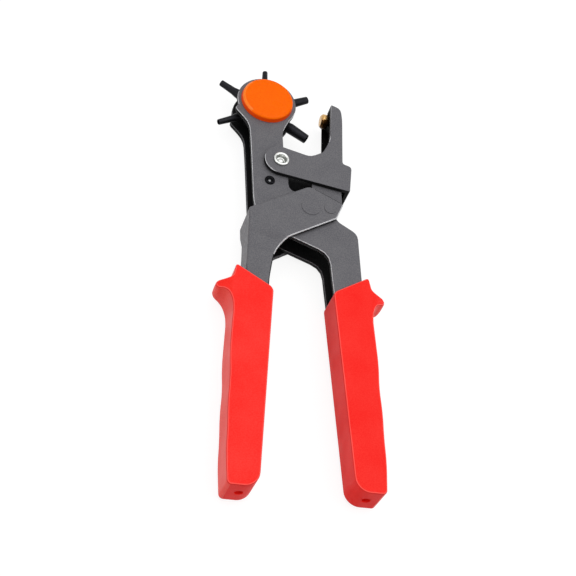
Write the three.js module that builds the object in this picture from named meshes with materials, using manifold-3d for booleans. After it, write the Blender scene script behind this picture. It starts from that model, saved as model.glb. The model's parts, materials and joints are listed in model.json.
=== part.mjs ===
// Revolving leather punch: six punch tubes on a turret, an anvil jaw, and a compound lever.
// Millimetres. +Y points to the jaws, +Z is the front, and the tool lies flat on its back.
// Outlines are shares of the frame's width and length, measured from the turret's axis:
// [x share of planWidth, distance towards the handles as a share of planLength, corner share].
import * as THREE from "three";
import { mergeVertices } from "three/addons/utils/BufferGeometryUtils.js";
import Module from "manifold-3d";

const wasm = await Module();
wasm.setup();

// Driving sizes
const planWidth = 44.6; // turret axis to the outer edge of the fixed handle
const planLength = 62.5; // turret axis to the lever's pivot
const plateThick = 2.2; // stamped steel of the frame, the jaw and the lever
const frameDepth = 14.1; // front face of the front plate to the back of the rear plate
const headRadius = 14.9; // round head of the frame over the turret
const lugRadius = 8; // round lug of the jaw at its pivot
const tubeReach = 26; // turret axis to the cutting edges
const leverClose = 12.5; // degrees that the handles close

// Clearances
const fitGap = 0.3; // radial play of pins, and side play between plates that slide
const seatGap = 0.1; // under rivet heads and at the ends of spacers
const hornRearStep = 2; // the jaw's rear plate, behind the front one on the horn's inner side
const footGap = 0.35; // between the drive sleeve and the jaw's foot, open
const bushGap = 1.1; // between the drive sleeve and the bush of the lever's pivot
const sideGap = 0.4; // side play of what moves between the frame plates
const overrun = 5; // how far a cut runs past what it cuts
// Facets: round pins, larger discs, small holes, and each rounded corner
const roundSteps = 24;
const discSteps = 48;
const holeSteps = 16;
const cornerSteps = 3;
const cornerLimitShare = 0.47; // a rounded corner takes at most this share of the sides it joins

// Pins and rivets
const boltShankRadius = 3.1;
const boltHeadRadius = 3.85;
const boltHeadHeight = 1.1;
const boltTailHeight = 0.9;
const boltBoreRadius = 2.4;
const boltBoreDepth = 3;
const boltRimEdge = 0.4;
const jawBushRadius = 4.2;
const leverPinRadius = 3.2;
const leverPinHeadRadius = 4.3;
const leverBushRadius = 5;
const drivePinRadius = 2;
const drivePinHeadRadius = 2.7;
const flushHeadHeight = 0.2;
const driveSleeveRadius = 3.4;
const indexShankRadius = 1.5;
const indexHeadRadius = 2.5;
const indexHeadHeight = 0.7;
const indexSpacerRadius = 2.5;
const handleSpacerRadius = 2.6;

// Turret
const hubRadius = 12.6;
const hubThick = 7;
const hubRimEdge = 0.8;
const axleRadius = 3;
const axleHeadRadius = 5;
const axleHeadHeight = 1.2;
const axleNutRadius = 4.6;
const axleNutHeight = 1.5;
const capRadius = 13.1;
const capHeight = 3;
const capWall = 1.1;
const capEdge = 0.7;
const capClipRadius = 6.2;
const washerRadius = 6;
const tubeCount = 6;
const tubePhase = 28; // degrees: the turret stands between two stops
const tubeStop = 3.7; // degrees: where a tube meets the anvil
const tubeShankRadius = 2.2;
const tubeShankDepth = 4.5; // how deep a tube sits in the hub
const tubeCollarRadius = 2.9;
const tubeFlare = 3.4; // length of the cone beyond the collar
const tubeCollar = 0.5;
const tubeTaper = 0.35; // how much thicker a tube is at its cone than at its tip
const tubeBevel = 0.5; // length of the ground cutting edge
const tubeWall = 0.25; // wall left at the cutting edge
// Outer radii at the tips: right upper, top, left upper, left lower, bottom, right lower
const tubeTipRadii = [1.7, 1.15, 1.45, 1.25, 2.0, 2.2];

// Index spring
const indexSpringThick = 0.6;
const indexSpringWidth = 6;
const indexNoseRadius = 1.2;
const indexNosePlace = 9.4; // turret axis to the spring's nose
const dimpleRadius = 1.5;
const dimpleDepth = 0.7;

// Anvil
const anvilRadius = 3.7;
const anvilHeadLength = 3.5;
const anvilRoundEdge = 0.5;
const anvilShankRadius = 2;
const anvilFaceGap = 0.35; // left between the anvil and a tube when closed

// Return spring
const springWire = 1.2;
const springRadius = 5.4;
const springTurns = 3;
const springPitch = 1.9;
const springSides = 5;
const springStepsPerTurn = 8;

// Handles, as mirror images about a line down the tool
const gripShift = 1; // the moving grip stands this much lower, the fixed one higher
const gripWidth = 17.5;
const gripLength = 104.4;
const gripThick = 16.4;
const gripEdge = 0.6;
const hornEdge = 1.2; // rounding of a guard horn, seen from the front
const hornRound = 2.5; // the same rounding along Z
const gripHoleRadius = 2.2;
const gripHoleDepth = 6;
const gripWall = 1.5; // rubber beside the steel inside a grip
const tangLength = 80; // steel inside a grip, past its mouth
const tangMouth = 10.2; // grip's upper corner to the inner corner of its mouth

// Lever
const joggleTurn = 21; // degrees: how far the joggle's fold lines are turned from the X axis
const joggleRun = 5.3;

// Where the pins stand, as shares; the drive pin's is only its distance down the tool
const jawPivotShares = [0.141, 0.592];
const leverPivotShares = [0.46, 1];
const drivePinShare = 0.986;
const indexRivetShares = [0.027, 0.778];
// Down the tool from the turret's axis, as shares of planLength: to the joggle, square to its
// fold lines, and to the upper corner of a grip
const joggleStartShare = 1.1568;
const gripTopShare = 1.5968;
const joggleStart = joggleStartShare * planLength;
const gripTop = gripTopShare * planLength;
// Across the tool, as shares of planWidth: the X of the handles' mirror line, and from that
// line to a grip's inner side at its mouth
const handleMiddleShare = 0.3722;
const gripInnerShare = 0.31166;
const handleMiddle = handleMiddleShare * planWidth;
const gripInner = gripInnerShare * planWidth;

// Left side of the frame, from the head down to the fixed handle's inner edge
const frameInnerShares = [
  [0, -0.096, 0],
  [-0.3, 0.051, 0],
  [-0.363, 0.109, 0.036],
  [-0.195, 0.246, 0.101],
  [-0.177, 0.48, 0],
  [-0.148, 0.992, 0.067],
  [-0.117, 1.088, 0.09],
  [0.011, 1.187, 0.09],
  [0.224, 1.258, 0.022],
  [0.664, 1.374, 0.157],
  [0.682, 1.568, 0.045],
];
// From the fixed handle's outer edge up past the pin notch, the ear and the window
const frameOuterShares = [
  [1.004, 1.568, 0.067],
  [0.987, 1.158, 0.067],
  [0.776, 1.069, 0.034],
  [0.744, 1.027, 0.022],
  [0.592, 1.027, 0.034],
  [0.592, 0.915, 0.034],
  [0.827, 0.915, 0.022],
  [0.827, 0.746, 0.045],
  [0.496, 0.736, 0.034],
  [0.496, 0.854, 0.056],
  [0.233, 0.848, 0.112],
  [0.233, 0.696, 0.045],
  [0.296, 0.608, 0.067],
  [0.291, 0.504, 0.034],
  [0.186, 0.485, 0.049],
  [0.175, 0.282, 0.067],
  [0.269, 0.131, 0],
];
// Jaw: lower right corner, shoulder, horn up to its tip, and down its inner side
const jawShares = [
  [0.906, 0.795, 0.013],
  [0.939, 0.552, 0.04],
  [0.836, 0.534, 0.031],
  [0.857, 0.08, 0.09],
  [0.843, -0.026, 0.072],
  [0.729, -0.053, 0.02],
  [0.705, 0.32, 0.08],
  [0.619, 0.45, 0.036],
  [0.471, 0.514, 0.054],
];
const leverHeadShares = [
  [-0.209, 1.082, 0.027],
  [0.455, 0.802, 0.063],
  [0.827, 0.926, 0.018],
  [0.742, 1.07, 0.02],
  [0.09, 1.35, 0.224],
  [0.022, 1.648, 0.067],
];
const leverBackShares = [
  [-0.22, 1.6, 0.067],
  [-0.2, 1.312, 0.09],
];
// Foot: its outer side, the ends of the face that the drive sleeve pushes, and its inner side
const footOuterShares = [
  [0.865, 0.643, 0.022],
  [0.843, 0.8, 0.022],
];
const footFaceShares = [0.751, 0.583];
const footInnerShares = [
  [0.596, 0.864, 0.022],
  [0.706, 0.736, 0.022],
  [0.717, 0.643, 0.022],
];
// Grip, the border of its flat face: [across from its inner side, down from its top, corner],
// as shares of its width and length; the sides stand out by gripEdge
const gripShares = [
  [0.04, 0.083, 0.14],
  [0.965, -0.01, 0.034],
  [1.045, 0.046, 0.12],
  [1.19, 0.057, 0.06],
  [1.18, 0.103, 0.1],
  [1.05, 0.15, 0.3],
  [1.02, 0.2, 0.286],
  [1.06, 0.307, 0.286],
  [1.1, 0.421, 0.286],
  [1.075, 0.527, 0.286],
  [1.13, 0.642, 0.286],
  [1.125, 0.757, 0.286],
  [1.155, 0.86, 0.286],
  [1.12, 0.994, 0.08],
  [0.41, 0.994, 0.4],
];
// Guard horn, its whole outline in the same shares, from its root to its tip and back
const hornShares = [
  [1.06, 0.053, 0],
  [1.2, 0.056, 0.1],
  [1.38, 0.058, 0.14],
  [1.52, 0.081, 0.12],
  [1.4, 0.104, 0.14],
  [1.2, 0.11, 0.1],
  [1.06, 0.114, 0],
];
const hornTipDepthShare = 0.45; // depth of the horn at its tip, of the grip's

// Levels along Z
const frontLow = -plateThick;
const rearTop = plateThick - frameDepth;
const rearLow = -frameDepth;
const middleZ = -frameDepth / 2;
const coverTop = fitGap + plateThick;
const coverLow = rearLow - fitGap - plateThick;
const springTop = frontLow - seatGap;

const rad = THREE.MathUtils.degToRad;
const spot = (shares) => new THREE.Vector2(shares[0] * planWidth, -shares[1] * planLength);
const jawPivot = spot(jawPivotShares);
const leverPivot = spot(leverPivotShares);
const driveArm = leverBushRadius + driveSleeveRadius + bushGap;
const drivePin = new THREE.Vector2(leverPivot.x + driveArm, -drivePinShare * planLength);
const indexRivet = spot(indexRivetShares);

// The jaw turns this share of the lever's angle: the arm of the pin over the arm of the foot
const jawRatio = (drivePin.x - leverPivot.x) / (drivePin.x - jawPivot.x);
const jawClose = leverClose * jawRatio;

// Solids
function solid(geometry) {
  const bare = geometry.clone();
  bare.deleteAttribute("normal");
  bare.deleteAttribute("uv");
  const merged = mergeVertices(bare, fitGap / 1000);
  const mesh = new wasm.Mesh({
    numProp: 3,
    vertProperties: new Float32Array(merged.attributes.position.array),
    triVerts: new Uint32Array(merged.index.array),
  });
  return new wasm.Manifold(mesh);
}

function geometryOf(body) {
  const mesh = body.getMesh();
  const geometry = new THREE.BufferGeometry();
  geometry.setAttribute("position", new THREE.BufferAttribute(mesh.vertProperties.slice(), 3));
  geometry.setIndex(new THREE.BufferAttribute(mesh.triVerts.slice(), 1));
  geometry.computeVertexNormals();
  return geometry;
}

function place(shares) {
  return shares.map(([x, y, corner]) => [x * planWidth, -y * planLength, corner * planWidth]);
}

// A closed outline with rounded corners; each corner is cut back by its third number
function roundedShape(points) {
  const shape = new THREE.Shape();
  const count = points.length;
  points.forEach(([x, y, corner], index) => {
    const here = new THREE.Vector2(x, y);
    const before = new THREE.Vector2(...points[(index + count - 1) % count].slice(0, 2));
    const after = new THREE.Vector2(...points[(index + 1) % count].slice(0, 2));
    const limit = Math.min(here.distanceTo(before), here.distanceTo(after)) * cornerLimitShare;
    const cut = Math.min(corner, limit);
    const start = here.clone().add(before.sub(here).setLength(cut));
    const end = here.clone().add(after.sub(here).setLength(cut));
    if (index === 0) shape.moveTo(start.x, start.y);
    else shape.lineTo(start.x, start.y);
    if (cut > 0) shape.quadraticCurveTo(x, y, end.x, end.y);
  });
  shape.closePath();
  return shape;
}

function slab(points, low, high, curveSegments = cornerSteps) {
  const geometry = new THREE.ExtrudeGeometry(roundedShape(points), {
    depth: high - low,
    bevelEnabled: false,
    curveSegments,
  });
  geometry.translate(0, 0, low);
  return solid(geometry);
}

// A round solid standing along Z at a spot in the plan
function post(centre, radius, low, high, steps) {
  const geometry = new THREE.CylinderGeometry(radius, radius, high - low, steps);
  geometry.rotateX(Math.PI / 2);
  geometry.translate(centre.x, centre.y, (low + high) / 2);
  return solid(geometry);
}

// A turned solid about Z at a spot in the plan: profile points are [radius, z]
function turned(centre, profile, steps = roundSteps) {
  const points = profile.map(([radius, z]) => new THREE.Vector2(radius, z));
  const geometry = new THREE.LatheGeometry(points, steps);
  geometry.rotateX(Math.PI / 2);
  geometry.translate(centre.x, centre.y, 0);
  return solid(geometry);
}

function ring(centre, inner, outer, low, high) {
  const hole = post(centre, inner, low - overrun, high + overrun, holeSteps);
  return post(centre, outer, low, high, roundSteps).subtract(hole);
}

// Materials
function finish(color, roughness, metalness) {
  return new THREE.MeshStandardMaterial({ color, roughness, metalness });
}
const greyCoat = finish(0x6b696d, 0.5, 0.2);
const blackSteel = finish(0x17171a, 0.45, 0.7);
const brightSteel = finish(0xcfd0d2, 0.25, 1);
const brass = finish(0xc9a25c, 0.3, 1);
const redRubber = finish(0xfd3e33, 0.55, 0);
const orangePlastic = finish(0xff6b03, 0.4, 0);

const punch = new THREE.Group();
function add(name, body, material) {
  const mesh = new THREE.Mesh(geometryOf(body), material);
  mesh.name = name;
  punch.add(mesh);
  return mesh;
}

// Handles: a point from the mirrored measures (out from the middle line, down from a grip's top)
const sides = { left: -1, right: 1 };
const gripShiftOf = (side) => side * gripShift;
function handlePoint(side, out, down) {
  return [handleMiddle + side * out, -(gripTop + down) + gripShiftOf(side)];
}

// The grip's inner side leans out towards its end; a tang follows it at the grip's wall
const gripEndInner = gripInner + gripShares.at(-1)[0] * gripWidth - gripEdge;
const gripEndOuter = gripInner + gripShares.at(-2)[0] * gripWidth + gripEdge;
const innerLean = (gripEndInner - gripInner) / (gripLength - tangMouth);
const innerAt = (down) => gripInner + innerLean * (down - tangMouth);

// The four corners of a tang inside its grip, grown on all sides by a clearance
function tangEnd(side, grow) {
  const down = tangMouth + tangLength;
  const inner = innerAt(down) + gripWall;
  const outer = gripEndOuter - 2 * gripWall;
  const corner = gripWall * 2;
  return [
    [...handlePoint(side, inner - grow, down + grow), corner],
    [...handlePoint(side, outer + grow, down + grow), corner],
  ];
}

// Frame: two like plates with the turret between them
function framePlate(low, high) {
  const tang = tangEnd(sides.right, 0);
  const outline = [...place(frameInnerShares), ...tang, ...place(frameOuterShares)];
  const plate = slab(outline, low, high).add(post(new THREE.Vector2(), headRadius, low, high, discSteps));
  const holes = [
    [new THREE.Vector2(), axleRadius],
    [jawPivot, boltShankRadius],
    [leverPivot, leverPinRadius],
    [indexRivet, indexShankRadius],
    ...handleSpacerSpots.map((spacer) => [spacer, indexShankRadius]),
  ];
  return holes.reduce(
    (rest, [centre, radius]) =>
      rest.subtract(post(centre, radius + fitGap, low - overrun, high + overrun, holeSteps)),
    plate,
  );
}

// Rivets that hold the plates of the fixed handle apart, inside the grip
const spacerDownShares = [0.25, 0.75];
const handleSpacerSpots = spacerDownShares.map((share) => {
  const down = tangMouth + share * tangLength;
  const middle = (innerAt(down) + gripWall + gripEndOuter - 2 * gripWall) / 2;
  return new THREE.Vector2(...handlePoint(sides.right, middle, down));
});

add("frame_front_plate", framePlate(frontLow, 0), greyCoat);
add("frame_rear_plate", framePlate(rearLow, rearTop), greyCoat);
handleSpacerSpots.forEach((centre, index) => {
  const shoulder = plateThick - seatGap;
  const body = turned(centre, [
    [0, rearLow + seatGap],
    [indexShankRadius, rearLow + seatGap],
    [indexShankRadius, rearLow + shoulder + 2 * seatGap],
    [handleSpacerRadius, rearLow + shoulder + 2 * seatGap],
    [handleSpacerRadius, -shoulder - 2 * seatGap],
    [indexShankRadius, -shoulder - 2 * seatGap],
    [indexShankRadius, -seatGap],
    [0, -seatGap],
  ], holeSteps);
  add(`handle_spacer_${index + 1}`, body, blackSteel);
});

// Index spring: a leaf held by the small rivet, with a nose that drops into the hub's dimples
const hubTop = middleZ + hubThick / 2;
const hubLow = middleZ - hubThick / 2;
const springLow = springTop - indexSpringThick;

function indexSpring() {
  const half = indexSpringWidth / 2;
  const tail = indexRivet.y - half;
  const waist = jawPivot.x - jawBushRadius - 2 * fitGap;
  const leaf = slab(
    [
      [-half, -indexNosePlace + half, half],
      [-half, tail, half],
      [indexRivet.x + half, tail, half],
      [indexRivet.x + half, jawPivot.y - jawBushRadius - half, half],
      [waist, jawPivot.y - jawBushRadius, half],
      [waist, jawPivot.y + jawBushRadius, half],
      [half, -indexNosePlace + half, half],
    ],
    springLow,
    springTop,
  );
  const nose = new THREE.SphereGeometry(indexNoseRadius, holeSteps / 2, cornerSteps * 2);
  nose.translate(0, -indexNosePlace, springLow);
  const noseFloor = hubTop + fitGap;
  const box = new THREE.BoxGeometry(2 * indexSpringWidth, 2 * indexSpringWidth, springTop - noseFloor);
  box.translate(0, -indexNosePlace, (springTop + noseFloor) / 2);
  const hole = post(
    indexRivet, indexShankRadius + fitGap, springLow - overrun, springTop + overrun, holeSteps,
  );
  return leaf.add(solid(nose).intersect(solid(box))).subtract(hole);
}
add("index_spring", indexSpring(), brightSteel);
add(
  "index_rivet",
  turned(indexRivet, [
    [0, rearLow + seatGap],
    [indexShankRadius, rearLow + seatGap],
    [indexShankRadius, seatGap],
    [indexHeadRadius, seatGap],
    [indexHeadRadius, seatGap + indexHeadHeight / 3],
    [(indexHeadRadius + indexShankRadius) / 2, seatGap + (2 * indexHeadHeight) / 3],
    [indexShankRadius / 2, seatGap + indexHeadHeight],
    [0, seatGap + indexHeadHeight],
  ], holeSteps),
  blackSteel,
);
add(
  "index_spacer",
  ring(indexRivet, indexShankRadius + fitGap, indexSpacerRadius, rearTop + seatGap, springLow - seatGap),
  brightSteel,
);

// Turret: axle, hub, tubes, washer and cap
const origin = new THREE.Vector2();
add(
  "turret_axle",
  turned(origin, [
    [0, rearLow - seatGap - axleHeadHeight],
    [axleHeadRadius, rearLow - seatGap - axleHeadHeight],
    [axleHeadRadius, rearLow - seatGap],
    [axleRadius, rearLow - seatGap],
    [axleRadius, axleNutHeight],
    [0, axleNutHeight],
  ]),
  brightSteel,
);
add(
  "turret_nut",
  ring(origin, axleRadius + fitGap, axleNutRadius, seatGap, axleNutHeight),
  brightSteel,
);
add(
  "turret_washer",
  ring(origin, axleRadius + fitGap, washerRadius, rearTop + seatGap, hubLow - seatGap),
  brightSteel,
);
add(
  "turret_cap",
  turned(origin, [
    [0, capHeight],
    [capRadius - 2 * capEdge, capHeight],
    [capRadius - capEdge, capHeight - capEdge / 4],
    [capRadius - capEdge / 4, capHeight - capEdge],
    [capRadius, seatGap],
    [capRadius - capWall, seatGap],
    [capRadius - capWall - capEdge / 4, capHeight - capWall - capEdge / 4],
    [capClipRadius, capHeight - capWall],
    [capClipRadius, seatGap],
    [axleNutRadius + fitGap, seatGap],
    [axleNutRadius + fitGap, capHeight - capWall],
    [0, capHeight - capWall],
  ].reverse(), discSteps),
  orangePlastic,
);

// A tube lies along X before it is turned to its place
function alongX(profile, steps) {
  const points = profile.map(([radius, x]) => new THREE.Vector2(radius, x));
  const geometry = new THREE.LatheGeometry(points, steps);
  geometry.rotateZ(-Math.PI / 2);
  geometry.translate(0, 0, middleZ);
  return geometry;
}
const tubeAngle = (index) => rad(tubePhase + (index * 360) / tubeCount);

function punchTube(index) {
  const tip = tubeTipRadii[index];
  const bore = tip - tubeWall;
  const collarStart = hubRadius + fitGap;
  const flareStart = collarStart + tubeCollar;
  const geometry = alongX([
    [Math.min(bore, tubeShankRadius - 2 * tubeWall), hubRadius - tubeShankDepth],
    [tubeShankRadius, hubRadius - tubeShankDepth],
    [tubeShankRadius, collarStart],
    [tubeCollarRadius, collarStart],
    [tubeCollarRadius, flareStart],
    [tip + tubeTaper, flareStart + tubeFlare],
    [tip + tubeTaper / 2, tubeReach - tubeBevel],
    [bore + tubeWall / 3, tubeReach],
    [bore, tubeReach],
    [Math.min(bore, tubeShankRadius - 2 * tubeWall), hubRadius - tubeShankDepth],
  ], holeSteps);
  geometry.rotateZ(tubeAngle(index));
  return solid(geometry);
}

function turretHub() {
  const blank = turned(origin, [
    [axleRadius + fitGap, hubLow],
    [hubRadius - hubRimEdge, hubLow],
    [hubRadius, hubLow + hubRimEdge],
    [hubRadius, hubTop - hubRimEdge],
    [hubRadius - hubRimEdge, hubTop],
    [axleRadius + fitGap, hubTop],
    [axleRadius + fitGap, hubLow],
  ], discSteps);
  let hub = blank;
  const firstDimple = rad(-90 + tubePhase - tubeStop);
  for (let index = 0; index < tubeCount; index += 1) {
    const start = hubRadius - tubeShankDepth - fitGap;
    const socket = alongX([
      [0, start],
      [tubeShankRadius + fitGap, start],
      [tubeShankRadius + fitGap, hubRadius + overrun],
      [0, hubRadius + overrun],
    ], holeSteps);
    socket.rotateZ(tubeAngle(index));
    const stop = firstDimple + tubeAngle(index) - tubeAngle(0);
    const dimple = new THREE.SphereGeometry(dimpleRadius, holeSteps / 2, cornerSteps * 2);
    const centre = new THREE.Vector2(Math.cos(stop), Math.sin(stop)).multiplyScalar(indexNosePlace);
    dimple.translate(centre.x, centre.y, hubTop + dimpleRadius - dimpleDepth);
    hub = hub.subtract(solid(socket)).subtract(solid(dimple));
  }
  return hub;
}
add("turret_hub", turretHub(), blackSteel);
for (let index = 0; index < tubeCount; index += 1) {
  add(`punch_tube_${index + 1}`, punchTube(index), blackSteel);
}

// Jaw: a channel astride the frame, its web along the outer side and over the horn's tip
const jawPoints = place(jawShares);
const [jawHeel] = jawPoints;
const jawRoot = jawPoints.at(-1);
const jawSlope = Math.atan2(jawHeel[1] - jawPivot.y + lugRadius, jawHeel[0] - jawPivot.x);
const jawTopSlope = Math.atan2(jawRoot[1] - jawPivot.y - lugRadius, jawRoot[0] - jawPivot.x);
const lugPoint = (angle, sign) => [
  jawPivot.x - sign * lugRadius * Math.sin(angle),
  jawPivot.y + sign * lugRadius * Math.cos(angle),
  0,
];

// Anvil: when the jaw has closed, its face stands square to a tube that points at it
const anvilClosed = new THREE.Vector2(tubeReach + anvilFaceGap, 0).rotateAround(origin, rad(tubeStop));
const anvilTurn = rad(tubeStop - jawClose);
const anvilFace = anvilClosed.clone().rotateAround(jawPivot, -rad(jawClose));
const webOuterX = jawPoints[3][0];

function anvilSolid(profile, steps) {
  const geometry = alongX(profile, steps);
  geometry.rotateZ(anvilTurn);
  geometry.translate(anvilFace.x, anvilFace.y, 0);
  return solid(geometry);
}
const anvilTail = webOuterX - anvilFace.x - 2 * fitGap;

// The horn's rear plate stands back from the front one along the horn's inner side
function hornRearCut() {
  const [tip, bend, throat] = jawPoints.slice(5);
  const clear = throat[0] - 2 * hornRearStep;
  return slab([
    [tip[0] + hornRearStep, tip[1] + overrun, 0],
    [bend[0] + hornRearStep, bend[1] + hornRearStep, 2 * hornRearStep],
    [throat[0], throat[1], 0],
    [clear, throat[1], 0],
    [clear, tip[1] + overrun, 0],
  ], coverLow - overrun, coverLow + plateThick);
}

function anvilJaw() {
  const outline = [lugPoint(jawSlope, -1), ...jawPoints, lugPoint(jawTopSlope, 1)];
  const blank = slab(outline, coverLow, coverTop)
    .add(post(jawPivot, lugRadius, coverLow, coverTop, discSteps));
  const wall = plateThick;
  const [heel, shoulder, waist, horn, crown, tip] = jawPoints;
  const far = -planWidth;
  const inside = [
    [heel[0] - wall, heel[1] - overrun, 0],
    [shoulder[0] - wall, shoulder[1] - wall, wall / 2],
    [waist[0] - wall, waist[1] - wall, wall / 2],
    [horn[0] - wall, horn[1], wall],
    [crown[0] - wall, crown[1] - wall, wall],
    [tip[0], tip[1] - wall, 0],
    [far, tip[1] - wall, 0],
    [far, heel[1] - overrun, 0],
  ];
  const hollow = slab(inside, coverLow + wall, coverTop - wall);
  const pivotHole = post(
    jawPivot, boltShankRadius + fitGap, coverLow - overrun, coverTop + overrun, holeSteps,
  );
  const anvilHole = anvilSolid([
    [0, 0],
    [anvilRadius + fitGap, 0],
    [anvilRadius + fitGap, anvilHeadLength + fitGap],
    [anvilShankRadius + fitGap, anvilHeadLength + fitGap],
    [anvilShankRadius + fitGap, anvilTail + overrun],
    [0, anvilTail + overrun],
  ], holeSteps);
  return blank.subtract(hollow).subtract(hornRearCut()).subtract(pivotHole).subtract(anvilHole);
}
add("anvil_jaw", anvilJaw(), greyCoat);
add(
  "anvil",
  anvilSolid([
    [0, 0],
    [anvilRadius - anvilRoundEdge, 0],
    [anvilRadius, anvilRoundEdge],
    [anvilRadius, anvilHeadLength - anvilRoundEdge],
    [anvilRadius - anvilRoundEdge, anvilHeadLength],
    [anvilShankRadius, anvilHeadLength],
    [anvilShankRadius, anvilTail],
    [0, anvilTail],
  ], roundSteps),
  brass,
);
add(
  "jaw_pivot_bolt",
  turned(jawPivot, [
    [0, coverLow - seatGap - boltTailHeight],
    [boltHeadRadius - boltRimEdge, coverLow - seatGap - boltTailHeight],
    [boltHeadRadius, coverLow - seatGap - boltTailHeight + boltRimEdge],
    [boltHeadRadius, coverLow - seatGap],
    [boltShankRadius, coverLow - seatGap],
    [boltShankRadius, coverTop + seatGap],
    [boltHeadRadius, coverTop + seatGap],
    [boltHeadRadius, coverTop + seatGap + boltHeadHeight - boltRimEdge],
    [boltHeadRadius - boltRimEdge, coverTop + seatGap + boltHeadHeight],
    [boltBoreRadius + boltRimEdge, coverTop + seatGap + boltHeadHeight],
    [boltBoreRadius, coverTop + seatGap + boltHeadHeight - boltRimEdge],
    [boltBoreRadius, coverTop + seatGap + boltHeadHeight - boltBoreDepth + boltRimEdge],
    [0, coverTop + seatGap + boltHeadHeight - boltBoreDepth],
  ]),
  brightSteel,
);
add(
  "jaw_pivot_bush",
  ring(jawPivot, boltShankRadius + fitGap, jawBushRadius, rearTop + seatGap, frontLow - seatGap),
  brightSteel,
);
const footOuter = place(footOuterShares);
const [footTop] = footOuter;
const footLow = drivePin.y + driveSleeveRadius + footGap;
const footFace = footFaceShares.map((share) => [share * planWidth, footLow, footTop[2]]);
const footOutline = [...footOuter, ...footFace, ...place(footInnerShares)];
add("jaw_foot", slab(footOutline, rearTop + sideGap, frontLow - sideGap), blackSteel);

// Lever: a channel astride the frame that steps in to the frame's own depth below a joggle
const joggleRise = coverTop;
const joggleShift = plateThick * Math.tan(Math.atan2(joggleRise, joggleRun) / 2);

// Everything between the lever's two outer faces, or its two inner ones when inset
function leverSpace(inset, shift) {
  const far = planLength * 4;
  const start = joggleStart - shift;
  const end = start + joggleRun;
  const shape = new THREE.Shape();
  shape.moveTo(-far, coverTop - inset);
  shape.lineTo(start, coverTop - inset);
  shape.lineTo(end, -inset);
  shape.lineTo(far, -inset);
  shape.lineTo(far, rearLow + inset);
  shape.lineTo(end, rearLow + inset);
  shape.lineTo(start, coverLow + inset);
  shape.lineTo(-far, coverLow + inset);
  shape.closePath();
  const geometry = new THREE.ExtrudeGeometry(shape, { depth: 2 * far, bevelEnabled: false });
  geometry.translate(0, 0, -far);
  const turn = rad(joggleTurn);
  const down = new THREE.Vector3(-Math.sin(turn), -Math.cos(turn), 0);
  const up = new THREE.Vector3(0, 0, 1);
  const along = new THREE.Vector3().crossVectors(down, up);
  geometry.applyMatrix4(new THREE.Matrix4().makeBasis(down, up, along));
  return solid(geometry);
}

function driveLever() {
  const head = place(leverHeadShares);
  const back = place(leverBackShares);
  const tang = tangEnd(sides.left, 0);
  const blank = slab([...head, ...tang, ...back], coverLow - overrun, coverTop + overrun, 2 * cornerSteps)
    .intersect(leverSpace(0, 0));
  const wall = plateThick;
  const shifted = ([x, y, corner]) => [x + wall, y, corner];
  const [tangInner, tangOuter] = tang;
  const inside = [
    [head[0][0] + wall, head[0][1] + overrun, 0],
    [planWidth * 2, head[0][1] + overrun, 0],
    [planWidth * 2, tangInner[1] - overrun, 0],
    [tangOuter[0] + wall, tangOuter[1] - overrun, 0],
    [tangOuter[0] + wall, tangOuter[1], 0],
    ...back.map(shifted),
  ];
  const upper = [
    [head[0][0] + wall, head[0][1], 0],
    [planWidth * 2, head[0][1], 0],
    [planWidth * 2, 0, 0],
    [head[0][0] - wall, 0, 0],
    [head[0][0] - wall, head[0][1] + overrun, 0],
    [head[0][0] + wall, head[0][1] + overrun, 0],
  ];
  const low = coverLow - overrun;
  const high = coverTop + overrun;
  const hollow = slab(inside, low, high)
    .add(slab(upper, low, high))
    .intersect(leverSpace(wall, joggleShift));
  const holes = [
    [leverPivot, leverPinRadius],
    [drivePin, drivePinRadius],
  ];
  return holes.reduce(
    (rest, [centre, radius]) => rest.subtract(post(centre, radius + fitGap, low, high, holeSteps)),
    blank.subtract(hollow),
  );
}
add("drive_lever", driveLever(), greyCoat);

// A pin with a thin flush head at each end, painted over with the lever
function flushPin(centre, radius, tailRadius) {
  const low = coverLow - seatGap;
  const high = coverTop + seatGap;
  return turned(centre, [
    [0, low - flushHeadHeight],
    [tailRadius, low - flushHeadHeight],
    [tailRadius, low],
    [radius, low],
    [radius, high],
    [tailRadius, high],
    [tailRadius, high + flushHeadHeight],
    [0, high + flushHeadHeight],
  ], roundSteps);
}
add("lever_pivot_pin", flushPin(leverPivot, leverPinRadius, leverPinHeadRadius), greyCoat);
add(
  "lever_pivot_bush",
  ring(leverPivot, leverPinRadius + fitGap, leverBushRadius, rearTop + seatGap, frontLow - seatGap),
  brightSteel,
);
add("drive_pin", flushPin(drivePin, drivePinRadius, drivePinHeadRadius), greyCoat);
add(
  "drive_sleeve",
  ring(drivePin, drivePinRadius + fitGap, driveSleeveRadius, rearTop + sideGap, frontLow - sideGap),
  brightSteel,
);

// Return spring: a coil round the jaw's bush, one leg on the index spacer, one on the jaw's foot
const springStart = springLow - springWire - sideGap;

function springPath() {
  const points = [];
  const wireClear = springWire / 2 + fitGap;
  const legX = indexRivet.x - indexSpacerRadius - wireClear;
  points.push(new THREE.Vector3(legX, indexRivet.y - springWire * 2, springStart));
  points.push(new THREE.Vector3(legX, (indexRivet.y * 2 + jawPivot.y) / 3, springStart));
  const steps = springTurns * springStepsPerTurn;
  const begin = Math.PI;
  const finishAngle = begin - 2 * Math.PI * springTurns - Math.PI / 2;
  for (let step = 0; step <= steps; step += 1) {
    const share = step / steps;
    const angle = begin + (finishAngle - begin) * share;
    points.push(new THREE.Vector3(
      jawPivot.x + springRadius * Math.cos(angle),
      jawPivot.y + springRadius * Math.sin(angle),
      springStart - springPitch * springTurns * share,
    ));
  }
  const last = points.at(-1);
  const end = new THREE.Vector3(footTop[0] - springWire, footTop[1] + wireClear + springWire / 2, last.z);
  points.push(last.clone().lerp(end, 1 / 2));
  points.push(end);
  return points;
}

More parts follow.
